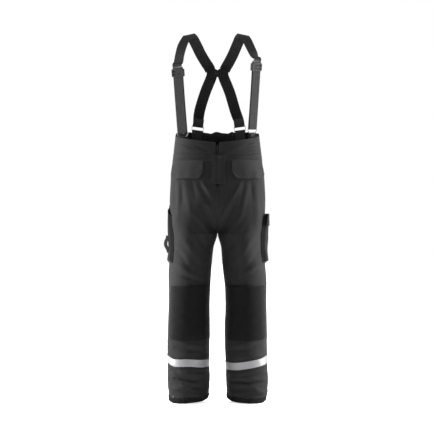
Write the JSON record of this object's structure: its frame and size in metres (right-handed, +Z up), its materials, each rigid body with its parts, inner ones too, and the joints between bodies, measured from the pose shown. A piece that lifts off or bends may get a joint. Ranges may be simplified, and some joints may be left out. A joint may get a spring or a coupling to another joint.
{
  "type": "bunker pants",
  "caption": "Black firefighter's bunker pants with webbing braces, flapped front pockets, side pockets, knee patches and reflective bands above the hems.",
  "frame": {"origin": "shoulder rest, midway between the tops of the two shoulder straps", "axes": "+Z up, the front faces -Y, the wearer's left is +X"},
  "size_m": [0.478, 0.2986, 1.6951],
  "materials": {
    "shell_fabric": "matte",
    "reinforcement_fabric": "matte",
    "pocket_fabric": "matte",
    "lining": "matte",
    "webbing": "satin",
    "zip_textile": "matte",
    "hook_and_loop": "matte",
    "reflective": "satin",
    "foam": "matte",
    "black_plastic": "satin",
    "dark_metal": "satin"
  },
  "bodies": {
    "pants": {"back_yoke": "shell_fabric", "back_waistband": "shell_fabric", "waist_elastic": "lining", "fly_snap_stud": "dark_metal", "cargo_pocket_left": "pocket_fabric", "tool_pocket_right": "reinforcement_fabric", "tool_loop_right": "webbing", "cross_patch": "pocket_fabric", "front_leg_left": "shell_fabric", "back_leg_left": "shell_fabric", "front_yoke_left": "shell_fabric", "waist_facing_left": "lining", "leg_liner_left": "lining", "hem_band_left": "reinforcement_fabric", "reflective_tape_left": "reflective", "knee_pocket_left": "reinforcement_fabric", "knee_pad_left": "foam", "pocket_bag_left": "lining", "flap_fastener_left": "hook_and_loop", "zip_tape_left": "zip_textile", "front_ring_left": "dark_metal", "front_tab_left": "webbing", "brace_loop_left": "webbing", "back_ring_left": "dark_metal", "back_tab_left": "webbing", "back_strap_left": "webbing", "shoulder_strap_left": "webbing", "front_leg_right": "shell_fabric", "back_leg_right": "shell_fabric", "front_yoke_right": "shell_fabric", "waist_facing_right": "lining", "leg_liner_right": "lining", "hem_band_right": "reinforcement_fabric", "reflective_tape_right": "reflective", "knee_pocket_right": "reinforcement_fabric", "knee_pad_right": "foam", "pocket_bag_right": "lining", "flap_fastener_right": "hook_and_loop", "zip_tape_right": "zip_textile", "front_ring_right": "dark_metal", "front_tab_right": "webbing", "brace_loop_right": "webbing", "back_ring_right": "dark_metal", "back_tab_right": "webbing", "back_strap_right": "webbing", "shoulder_strap_right": "webbing"},
    "pocket_flap_left": {"pocket_flap_left": "shell_fabric"},
    "pocket_flap_right": {"pocket_flap_right": "shell_fabric"},
    "cargo_flap": {"cargo_flap_left": "pocket_fabric"},
    "fly_flap": {"fly_flap": "shell_fabric", "waist_snap_cap": "dark_metal"},
    "zip_slider": {"zip_slider": "dark_metal"},
    "zip_pull": {"zip_pull": "dark_metal"},
    "adjuster_left": {"strap_adjuster_left": "black_plastic"},
    "adjuster_right": {"strap_adjuster_right": "black_plastic"}
  },
  "joints": [
    {"name": "pocket_flap_left_lift", "type": "hinge", "parent": "pants", "child": "pocket_flap_left", "pos_m": [0.15645, -0.10165, -0.58], "axis": [-0.8792, -0.4765, 0], "range_deg": [0, 100]},
    {"name": "pocket_flap_right_lift", "type": "hinge", "parent": "pants", "child": "pocket_flap_right", "pos_m": [-0.15645, -0.10165, -0.58], "axis": [-0.8792, 0.4765, 0], "range_deg": [0, 100]},
    {"name": "cargo_flap_lift", "type": "hinge", "parent": "pants", "child": "cargo_flap", "pos_m": [0.23706, 0.03287, -0.824], "axis": [0.1527, -0.9883, 0], "range_deg": [0, 100]},
    {"name": "fly_flap_open", "type": "hinge", "parent": "pants", "child": "fly_flap", "pos_m": [0.034, -0.13647, -0.621], "axis": [0, 0.0597, 0.9982], "range_deg": [0, 110]},
    {"name": "zip_slider_travel", "type": "slide", "parent": "pants", "child": "zip_slider", "axis": [0, -0.0592, -0.9982], "range_m": [0, 0.14]},
    {"name": "zip_pull_swing", "type": "hinge", "parent": "zip_slider", "child": "zip_pull", "pos_m": [0, -0.12599, -0.52185], "axis": [-1, 0, 0], "range_deg": [0, 150]},
    {"name": "adjuster_left_slide", "type": "slide", "parent": "pants", "child": "adjuster_left", "axis": [-0.0625, 0.0986, -0.9932], "range_m": [0, 0.12]},
    {"name": "adjuster_right_slide", "type": "slide", "parent": "pants", "child": "adjuster_right", "axis": [0.0727, 0.0997, -0.9924], "range_m": [0, 0.12]}
  ]
}
